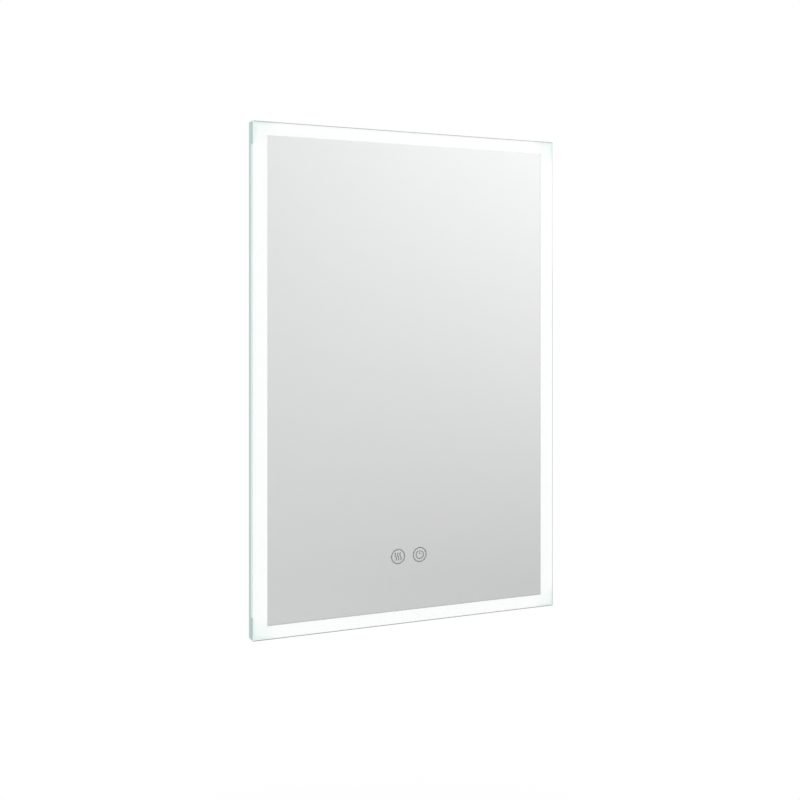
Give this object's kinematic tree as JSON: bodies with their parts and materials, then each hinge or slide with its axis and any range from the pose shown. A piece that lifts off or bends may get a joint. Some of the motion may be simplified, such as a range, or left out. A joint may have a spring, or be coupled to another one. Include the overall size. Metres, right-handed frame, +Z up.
{
  "type": "lighted bathroom mirror",
  "caption": "Frameless rectangular bathroom mirror with a frosted light band round its edge, opal sides, two touch icons, and keyhole hangers on a sheet back.",
  "frame": {"origin": "on the wall plane, midway between the entry holes of the two keyhole hangers", "axes": "+Z up, +Y from the mirror into the wall, +X to the right as one faces the mirror, whose glass looks along -Y"},
  "size_m": [0.6, 0.03, 0.9],
  "materials": {
    "clear_glass": "clear float glass, polished arris",
    "silver": "mirror silvering behind the glass",
    "frosted_band": "frosted coating, lit from behind",
    "etched_icon": "etched lines in the silvering",
    "opal_diffuser": "opal plastic, lit from inside",
    "rail_aluminium": "satin anodised",
    "foam_tape": "closed-cell foam",
    "white_board": "white solder mask",
    "zinc_steel": "bright zinc plate",
    "rivet_aluminium": "plain aluminium",
    "coated_sheet": "light grey powder coat",
    "black_rubber": "moulded rubber",
    "white_plastic": "moulded",
    "grey_plastic": "moulded",
    "dark_plastic": "moulded",
    "green_board": "solder mask",
    "brass_screw": "turned",
    "heating_foil": "polyester foil",
    "lead_sheath": "soft sheath"
  },
  "bodies": {
    "root": {"glass_pane": "clear_glass", "silvering": "silver", "icon_demister": "etched_icon", "icon_power": "etched_icon", "corner_key_screws": "zinc_steel", "strip_links": "white_board", "rear_cover": "coated_sheet", "cover_screws": "zinc_steel", "hanger_left": "zinc_steel", "hanger_right": "zinc_steel", "hanger_rivets": "rivet_aluminium", "cable_grommet": "black_rubber", "driver_base": "white_plastic", "driver_lid": "white_plastic", "driver_board": "green_board", "terminal_box": "white_plastic", "terminal_lid": "white_plastic", "terminal_block": "grey_plastic", "terminal_screws": "brass_screw", "inner_screws": "zinc_steel", "sensor_demister": "dark_plastic", "sensor_power": "dark_plastic", "demister_pad": "heating_foil", "lead_mains": "lead_sheath", "lead_driver": "lead_sheath", "lead_strip": "lead_sheath", "leads_demister": "lead_sheath", "lead_clips": "grey_plastic", "frost_left": "frosted_band", "bond_tape_left": "foam_tape", "diffuser_left": "opal_diffuser", "rail_left": "rail_aluminium", "led_strip_left": "white_board", "frost_right": "frosted_band", "bond_tape_right": "foam_tape", "diffuser_right": "opal_diffuser", "rail_right": "rail_aluminium", "led_strip_right": "white_board", "frost_top": "frosted_band", "bond_tape_top": "foam_tape", "diffuser_top": "opal_diffuser", "rail_top": "rail_aluminium", "led_strip_top": "white_board", "frost_bottom": "frosted_band", "bond_tape_bottom": "foam_tape", "diffuser_bottom": "opal_diffuser", "rail_bottom": "rail_aluminium", "led_strip_bottom": "white_board", "diffuser_corner_top_left": "opal_diffuser", "corner_key_top_left": "grey_plastic", "bumper_top_left": "black_rubber", "diffuser_corner_top_right": "opal_diffuser", "corner_key_top_right": "grey_plastic", "bumper_top_right": "black_rubber", "diffuser_corner_bottom_left": "opal_diffuser", "corner_key_bottom_left": "grey_plastic", "bumper_bottom_left": "black_rubber", "diffuser_corner_bottom_right": "opal_diffuser", "corner_key_bottom_right": "grey_plastic", "bumper_bottom_right": "black_rubber"}
  },
  "joints": []
}
